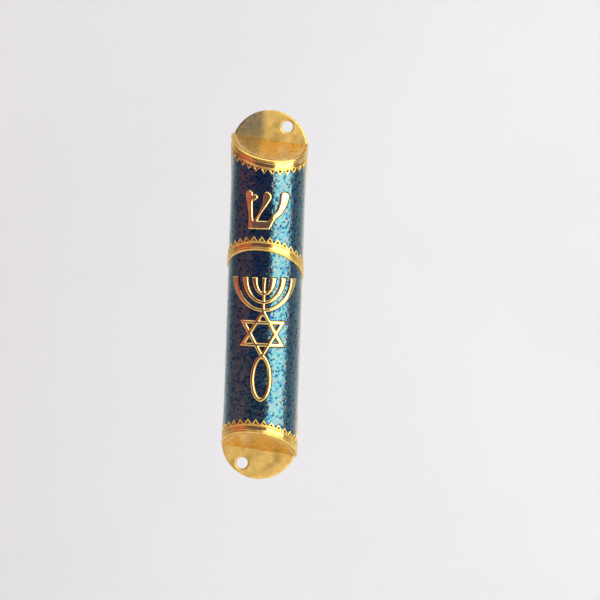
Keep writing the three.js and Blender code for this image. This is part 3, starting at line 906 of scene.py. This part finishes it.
def enamel_field(name, node, low, high, seed):
    """A hammered field of enamel between two slanting planes."""
    length = high(0, CREST) - low(0, CREST) + 2 * END_LEAN * CREST
    s = np.linspace(0, PERIMETER, int(PERIMETER / ENAMEL_CELL))[:, None]
    v = np.linspace(0, 1, int(length / ENAMEL_CELL))[None, :]
    x, height = arch(s, 0)
    z_low, z_high = low(x, height), high(x, height)
    z = z_low + (z_high - z_low) * v
    nearest, second = cell_distance(s + 0 * z, z + HAMMER_START, HAMMER_CELL, seed)
    dimple = smoothstep(0.0, HAMMER_RIDGE, (second - nearest) / HAMMER_CELL)
    dimple = dimple - np.clip(nearest / HAMMER_CELL, 0, 1) / 2
    edge = np.minimum(np.minimum(s, PERIMETER - s) / ENAMEL_EDGE, 1)
    outward = -HAMMER_DEPTH * (HAMMER_LEAST + (1 - HAMMER_LEAST) * (1 - dimple)) * edge

    def surface(out):
        return on_case(s + 0 * z, out, lambda x, height: z)

    points, faces = two_sided(surface(outward), surface(-ENAMEL_DEPTH))
    make_piece(name, points, faces, enamel, "case", node, "enamel")


UNDER_BAND = BAND_WIDTH - ENAMEL_TUCK
upper_edges = moved(MIDDLE_EDGE, UNDER_BAND), moved(TOP_END, -UNDER_BAND)
lower_edges = moved(BOTTOM_END, UNDER_BAND), moved(MIDDLE_EDGE, ENAMEL_TUCK)
enamel_field("upper_enamel", "enamel_upper", *upper_edges, SEED)
enamel_field("lower_enamel", "enamel_lower", *lower_edges, SEED + 1)


# ---- Letter and emblem ----


def raised(name, node, distance_at, x_reach, z_low, z_high):
    """A flat outline raised from the enamel with a rounded edge and a thin foot, darkened with
    painted shade.
    """
    xs = np.arange(-x_reach, x_reach, EMBLEM_CELL)
    zs = np.arange(z_low, z_high, EMBLEM_CELL)
    x, z = np.meshgrid(xs, zs, indexing="ij")
    distance = distance_at(x, z) - CREASE
    flat, faces = contour_grid(distance, xs, zs)
    depth = -sample(distance, xs, zs, flat) - CREASE

    def at(out):
        def place(points):
            angle = np.arcsin(np.clip(points[:, 0] / R, -1, 1))
            px = (R + out) * np.sin(angle)
            y = FOOT_Y - SKIRT - (R + out) * np.cos(angle)
            return np.stack([px, y, points[:, 1]], axis=1)

        return place

    rise = (EMBLEM_RELIEF - CREASE_RELIEF) * quarter_round(depth, EMBLEM_ROUNDING)
    points, solid = relief_solid(flat, faces, at(CREASE_RELIEF + rise), at(-EMBLEM_ROOT))
    piece = make_piece(name, points, solid, emblem_gold, "case", node, "emblem")
    # Painted shade: blue-black towards the shape's foot, fading out inwards
    mark(piece, "unshaded", np.tile(np.clip(depth / FOOT_SHADE_FADE, 0, 1), 2))


def shin_distance(x, z):
    """A letter of three arms on a flat base. Its lines are (x, z, width), with x as a share of
    half the letter's width and z as a share of its height."""
    band = BAND_WIDTH + TOOTH_HEIGHT
    field = CREST_HALF - MIDDLE_CREST_Z - 2 * band
    foot = CREST_HALF - band - SHIN_TOP_SHARE * (field - SHIN_HEIGHT) - SHIN_HEIGHT
    half = SHIN_WIDTH / 2
    arms = [
        [(-0.83, 0.9, 2.0), (-0.79, 0.66, 1.5), (-0.74, 0.38, 1.15), (-0.7, 0.12, 1.5)],
        [(-0.02, 0.72, 1.7), (-0.24, 0.48, 1.0), (-0.42, 0.3, 0.9), (-0.56, 0.14, 1.2)],
        [(0.81, 0.74, 2.2), (0.62, 0.48, 1.7), (0.32, 0.3, 1.5), (0.1, 0.12, 2.0)],
    ]
    heads = [
        [(-0.62, 0.78, 1.3), (-0.56, 0.82, 1.6)],
        [(-0.02, 0.76, 1.9), (0.02, 0.83, 2.4), (0.0, 0.88, 1.9)],
        [(0.8, 0.76, 2.2), (0.83, 0.86, 2.5)],
    ]
    lines = [
        smooth_line([(a * half, foot + b * SHIN_HEIGHT, width) for a, b, width in points])
        for points in arms + heads
    ]
    slanted_side = x - SHIN_BASE_RIGHT * half - SHIN_BASE_SLOPE * (z - foot)
    sides = np.maximum(SHIN_BASE_LEFT * half - x, slanted_side)
    base = np.maximum(sides, z - foot - SHIN_BASE_HEIGHT)
    return np.maximum(np.minimum(strokes_distance(x, z, lines), base), foot - z)


def lamp_distance(x, z, top):
    """A stem and three pairs of arms, cut off level at the top."""
    widest = R - EMBLEM_SIDE_MARGIN - CUP_WIDTH / 2
    above, neck = top + LAMP_OVERSHOOT, top - CUP_DEPTH
    foot = top - STEM_REACH - STAR_STROKE
    lines = [
        [(0, above, STEM_CUP_WIDTH), (0, top, STEM_CUP_WIDTH), (0, neck, STEM_WIDTH)],
        [(0, neck, STEM_WIDTH), (0, foot, STEM_WIDTH)],
    ]
    for i, drop in enumerate(ARM_DROPS):
        spread = widest * (i + 1) / len(ARM_DROPS)
        for side in (-1, 1):
            arm = [(side * spread, above, CUP_WIDTH), (side * spread, top, CUP_WIDTH)]
            for angle in np.linspace(0, math.pi / 2, ARM_STEPS):
                place = side * spread * math.cos(angle)
                width = CUP_WIDTH + (ARM_WIDTH - CUP_WIDTH) * math.sin(angle)
                arm.append((place, top - drop * math.sin(angle), width))
            lines.append(arm)
    return np.maximum(strokes_distance(x, z, lines), z - top)


def star_distance(x, z, centre_z):
    """Two triangle outlines, one pointing up and one down."""
    star = np.full(x.shape, FAR)
    for way in (1, -1):
        outer = triangle_distance(x, z, centre_z, STAR_RADIUS + STAR_STROKE, way)
        inner = triangle_distance(x, z, centre_z, STAR_RADIUS - STAR_STROKE, way)
        star = np.minimum(star, np.maximum(outer, -inner))
    return star


def fish_distance(x, z, head):
    """Two bows that part at the star's lowest point and meet below."""
    pull = FISH_BELLY * 4 / 3
    bows = []
    for side in (-1, 1):
        a = np.array([0, head])
        b = np.array([side * pull, head - FISH_LENGTH * FISH_SHOULDER])
        c = np.array([side * pull, head - FISH_LENGTH * FISH_HEEL])
        d = np.array([-side * FISH_STROKE * FISH_CROSSING, head - FISH_LENGTH])
        bow = []
        for t in np.linspace(0, 1, FISH_STEPS):
            u = 1 - t
            p = u**3 * a + 3 * u**2 * t * b + 3 * u * t * t * c + t**3 * d
            bow.append((p[0], p[1], FISH_STROKE))
        bows.append(bow)
    return strokes_distance(x, z, bows)


def emblem_distance(x, z):
    """The lamp, the star below it and the fish below that."""
    top = MIDDLE_CREST_Z - EMBLEM_TOP_GAP
    star_z = top - STEM_REACH - STAR_RADIUS
    lamp = lamp_distance(x, z, top)
    star = star_distance(x, z, star_z)
    fish = fish_distance(x, z, star_z - STAR_RADIUS)
    return np.minimum.reduce([lamp, star, fish])


letter_room = MIDDLE_CREST_Z + BAND_WIDTH, CREST_HALF - BAND_WIDTH
emblem_room = -CREST_HALF + BAND_WIDTH, MIDDLE_CREST_Z
raised("letter", "shin_letter", shin_distance, LETTER_REACH, *letter_room)
raised("lamp_star_fish", "lamp_star_fish_emblem", emblem_distance, EMBLEM_REACH, *emblem_room)


# ---- Clips and rivets ----


def round_corners(corners, radius, steps=10):
    """A line through corners, with each inner corner rounded."""
    c = [np.array(p, float) for p in corners]
    path = [c[0]]
    for a, b, d in zip(c, c[1:], c[2:]):
        before, after = (a - b) / np.linalg.norm(a - b), (d - b) / np.linalg.norm(d - b)
        start, end = b + before * radius, b + after * radius
        for t in np.linspace(0, 1, steps):
            path.append((1 - t) ** 2 * start + 2 * (1 - t) * t * b + t * t * end)
    path.append(c[-1])
    return np.array(path)


def spring_clip(name, node, z):
    """A strip bent to a U, whose arms lean in at their tips."""
    wall = R + WALL_IN - SEAT_GAP - CLIP_THICKNESS / 2
    corners = [
        (wall - CLIP_LEAD_IN, CLIP_ARM_HEIGHT),
        (wall, CLIP_GRIP_HEIGHT),
        (wall - CLIP_FOOT_SETBACK, CLIP_THICKNESS / 2),
    ]
    corners += [(-x, height) for x, height in reversed(corners)]
    path = round_corners(corners, CLIP_BEND)
    along = np.gradient(path, axis=0)
    along /= np.linalg.norm(along, axis=1)[:, None]
    normal = np.stack([along[:, 1], -along[:, 0]], axis=1)
    across = np.linspace(-1, 1, CLIP_ROWS) * CLIP_LENGTH / 2
    depth = CLIP_LENGTH / 2 - np.abs(across)
    half = CLIP_THICKNESS / 2 * quarter_round(depth + CLIP_EDGE, CLIP_ROUNDING)

    def face(side):
        skin = path[:, None, :] + side * normal[:, None, :] * half[None, :, None]
        zs = np.repeat((z + across)[None, :], len(path), axis=0)
        return np.stack([skin[..., 0], FOOT_Y - skin[..., 1], zs], axis=-1)

    points, faces = two_sided(face(1), face(-1))
    make_piece(name, points, faces, spring_bronze, "plate", node, "spring", sharp=50)


def rivet(name, node, z):
    """Turned about its own axis, along Y: a dome, a shank and a flush tail."""
    radius, shank = RIVET_HEAD_DIAMETER / 2, RIVET_SHANK_DIAMETER / 2
    tail, bevel = RIVET_TAIL_DIAMETER / 2, RIVET_TAIL_BEVEL
    head_y = FOOT_Y - CLIP_THICKNESS
    profile = [
        (radius * math.sin(a), head_y - RIVET_HEAD_EDGE - RIVET_HEAD_HEIGHT * math.cos(a))
        for a in np.linspace(RIVET_DOME_START, math.pi / 2, RIVET_DOME_STEPS)
    ]
    profile += [(radius - RIVET_HEAD_LIP, head_y), (shank, head_y)]
    profile += [(shank, -RIVET_TAIL_DEPTH - RIVET_TAIL_CONE), (tail, -RIVET_TAIL_DEPTH)]
    profile += [(tail, -bevel), (tail - bevel, 0.0), (RIVET_TAIL_CORE, 0.0)]
    points, faces = [], []
    count = len(profile)
    for i in range(RIVET_TURNS):
        angle = 2 * math.pi * i / RIVET_TURNS
        points += [(r * math.cos(angle), y, z + r * math.sin(angle)) for r, y in profile]
        for j in range(count - 1):
            a, b = i * count + j, ((i + 1) % RIVET_TURNS) * count + j
            faces.append([a, a + 1, b + 1, b])
    faces.append([i * count for i in range(RIVET_TURNS)])
    faces.append([(i + 1) * count - 1 for i in reversed(range(RIVET_TURNS))])
    make_piece(name, points, faces, rivet_brass, "plate", node, "rivet", sharp=40)


for word, side in (("upper", 1), ("lower", -1)):
    spring_clip(f"{word}_clip", f"spring_clip_{word}", side * CLIP_Z)
    rivet(f"{word}_rivet", f"clip_rivet_{word}", side * CLIP_Z)


# ---- Scroll ----


def scroll():
    """A sheet rolled inwards, whose turns don't quite line up at the ends."""
    turn = np.linspace(0, SCROLL_TURNS, SCROLL_TURNS * STEPS_PER_TURN + 1)
    angle = 2 * math.pi * turn + SCROLL_START
    radius = SCROLL_DIAMETER / 2 - SCROLL_PITCH * turn
    centre = (scroll_low + scroll_high) / 2
    half = (scroll_high[2] - scroll_low[2]) / 2
    v = np.linspace(-1, 1, SCROLL_ROWS)
    rng = np.random.default_rng(SEED)
    short = rng.uniform(-SCROLL_DRIFT, 0.0, SCROLL_TURNS + 1)
    drift = np.interp(turn, np.arange(SCROLL_TURNS + 1), short)
    z = (half + drift)[:, None] * v[None, :]

    def face(inwards):
        r = (radius - inwards)[:, None]
        x = centre[0] + r * np.cos(angle)[:, None] + 0 * v
        y = centre[1] + r * np.sin(angle)[:, None] + 0 * v
        return np.stack([x, y, z], axis=-1)

    points, faces = two_sided(face(0.0), face(PAPER))
    owner = "scroll", "scroll", "paper"
    make_piece("rolled_scroll", points, faces, scroll_paper, *owner, sharp=50)


scroll()


# ---- Stage and lights: sizes and places in metres ----

ORIGIN = (0, 0, 0)
SHEET_REACH = 3.0
SHEET_FLOOR = -0.32
SHEET_WALL = 0.65
SHEET_CURVE = 0.3
SHEET_TOP = 1.6
SHEET_COLUMNS = 13
CURVE_STEPS = 14


def stage_sheet():
    """A pale floor that curves up into a wall behind, well away from the object."""
    curve_y, curve_z = SHEET_WALL - SHEET_CURVE, SHEET_FLOOR + SHEET_CURVE
    profile = [(-SHEET_REACH, SHEET_FLOOR), (curve_y, SHEET_FLOOR)]
    for angle in np.linspace(0, math.pi / 2, CURVE_STEPS):
        y = curve_y + SHEET_CURVE * math.sin(angle)
        profile.append((y, curve_z - SHEET_CURVE * math.cos(angle)))
    profile.append((SHEET_WALL, SHEET_TOP))
    columns = np.linspace(-SHEET_REACH, SHEET_REACH, SHEET_COLUMNS)
    points = [(x, y, z) for x in columns for y, z in profile]
    mesh = bpy.data.meshes.new("studio_sheet")
    mesh.from_pydata(points, [], grid_faces(SHEET_COLUMNS, len(profile)).tolist())
    mesh.shade_smooth()
    material, nodes, links, shader, where = new_material("pale_sheet")
    tone = noise(nodes, links, where, scale=0.004, detail=2.0)
    tones = [(0.3, (0.79, 0.81, 0.75)), (0.7, (0.83, 0.85, 0.79))]
    links.new(ramp(nodes, links, tone, tones), shader.inputs["Base Color"])
    shader.inputs["Roughness"].default_value = 0.9
    mesh.materials.append(material)
    sheet = bpy.data.objects.new("studio_sheet", mesh)
    bpy.context.scene.collection.objects.link(sheet)


def area_light(name, place, size, watts, colour=(1, 1, 1), aim=ORIGIN):
    data = bpy.data.lights.new(name, "AREA")
    data.shape = "RECTANGLE"
    data.size, data.size_y = size
    data.energy = watts
    data.color = colour
    lamp = bpy.data.objects.new(name, data)
    lamp.location = place
    toward = Vector(aim) - Vector(place)
    lamp.rotation_euler = toward.to_track_quat("-Z", "Y").to_euler()
    lamp.visible_camera = False
    bpy.context.scene.collection.objects.link(lamp)


def world(seen, glow):
    """A room that is pale to look at, and dim in reflections."""
    sky = bpy.data.worlds.new("studio")
    sky.use_nodes = True
    nodes, links = sky.node_tree.nodes, sky.node_tree.links
    path = nodes.new("ShaderNodeLightPath")
    mix = nodes.new("ShaderNodeMixShader")
    dim = nodes["Background"]
    dim.inputs["Color"].default_value = (*glow, 1)
    pale = nodes.new("ShaderNodeBackground")
    pale.inputs["Color"].default_value = (*seen, 1)
    links.new(path.outputs["Is Camera Ray"], mix.inputs["Fac"])
    links.new(dim.outputs[0], mix.inputs[1])
    links.new(pale.outputs[0], mix.inputs[2])
    links.new(mix.outputs[0], nodes["World Output"].inputs["Surface"])
    bpy.context.scene.world = sky


# ---- Camera ----

VIEW_SIDE = 170.1  # width of the view at the plate's front face
CAMERA_DISTANCE = 450.0
TILT = math.radians(2.0)
VIEW_CENTRE = (10.1, -0.9)  # X and Z that the camera looks at
CAMERA_FOOT = (9.4, 20.0)  # X and Z of the camera
SENSOR_WIDTH = 36.0


def camera():
    """A camera in front of the case and a little above it, turned slightly about its own axis."""
    data = bpy.data.cameras.new("camera")
    data.sensor_width = SENSOR_WIDTH
    data.lens = SENSOR_WIDTH * CAMERA_DISTANCE / VIEW_SIDE
    data.clip_start, data.clip_end = 0.02, 20.0
    eye = bpy.data.objects.new("camera", data)
    place = Vector((CAMERA_FOOT[0], FOOT_Y - CAMERA_DISTANCE, CAMERA_FOOT[1])) * MM
    target = Vector((VIEW_CENTRE[0], FOOT_Y, VIEW_CENTRE[1])) * MM
    back = (place - target).normalized()
    right = Vector((math.cos(TILT), 0, math.sin(TILT)))
    right = (right - back * right.dot(back)).normalized()
    up = back.cross(right)
    turn = Matrix((right, up, back)).transposed()
    eye.rotation_euler = turn.to_euler()
    eye.location = place
    bpy.context.scene.collection.objects.link(eye)
    bpy.context.scene.camera = eye


stage_sheet()
world(seen=(0.7, 0.69, 0.68), glow=(0.13, 0.1, 0.25))
area_light("window", (0.57, -0.49, 0.1), (0.8, 1.3), 12)
area_light("warm_card", (-0.62, -0.2, 0.0), (0.7, 1.0), 0.85, (1.0, 0.2, 0.08))
area_light("ceiling", (0.0, -0.2, 1.7), (2.2, 2.2), 13)
area_light("side_fill", (0.7, 0.15, 0.0), (0.5, 1.0), 0.6, (0.75, 0.85, 1.0))
area_light("sheet_light", (0.0, -0.1, 1.2), (1.6, 0.8), 3, (0.9, 1.0, 0.88), aim=(0, 0.6, 0.0))
camera()
bpy.context.scene.view_settings.view_transform = "Standard"
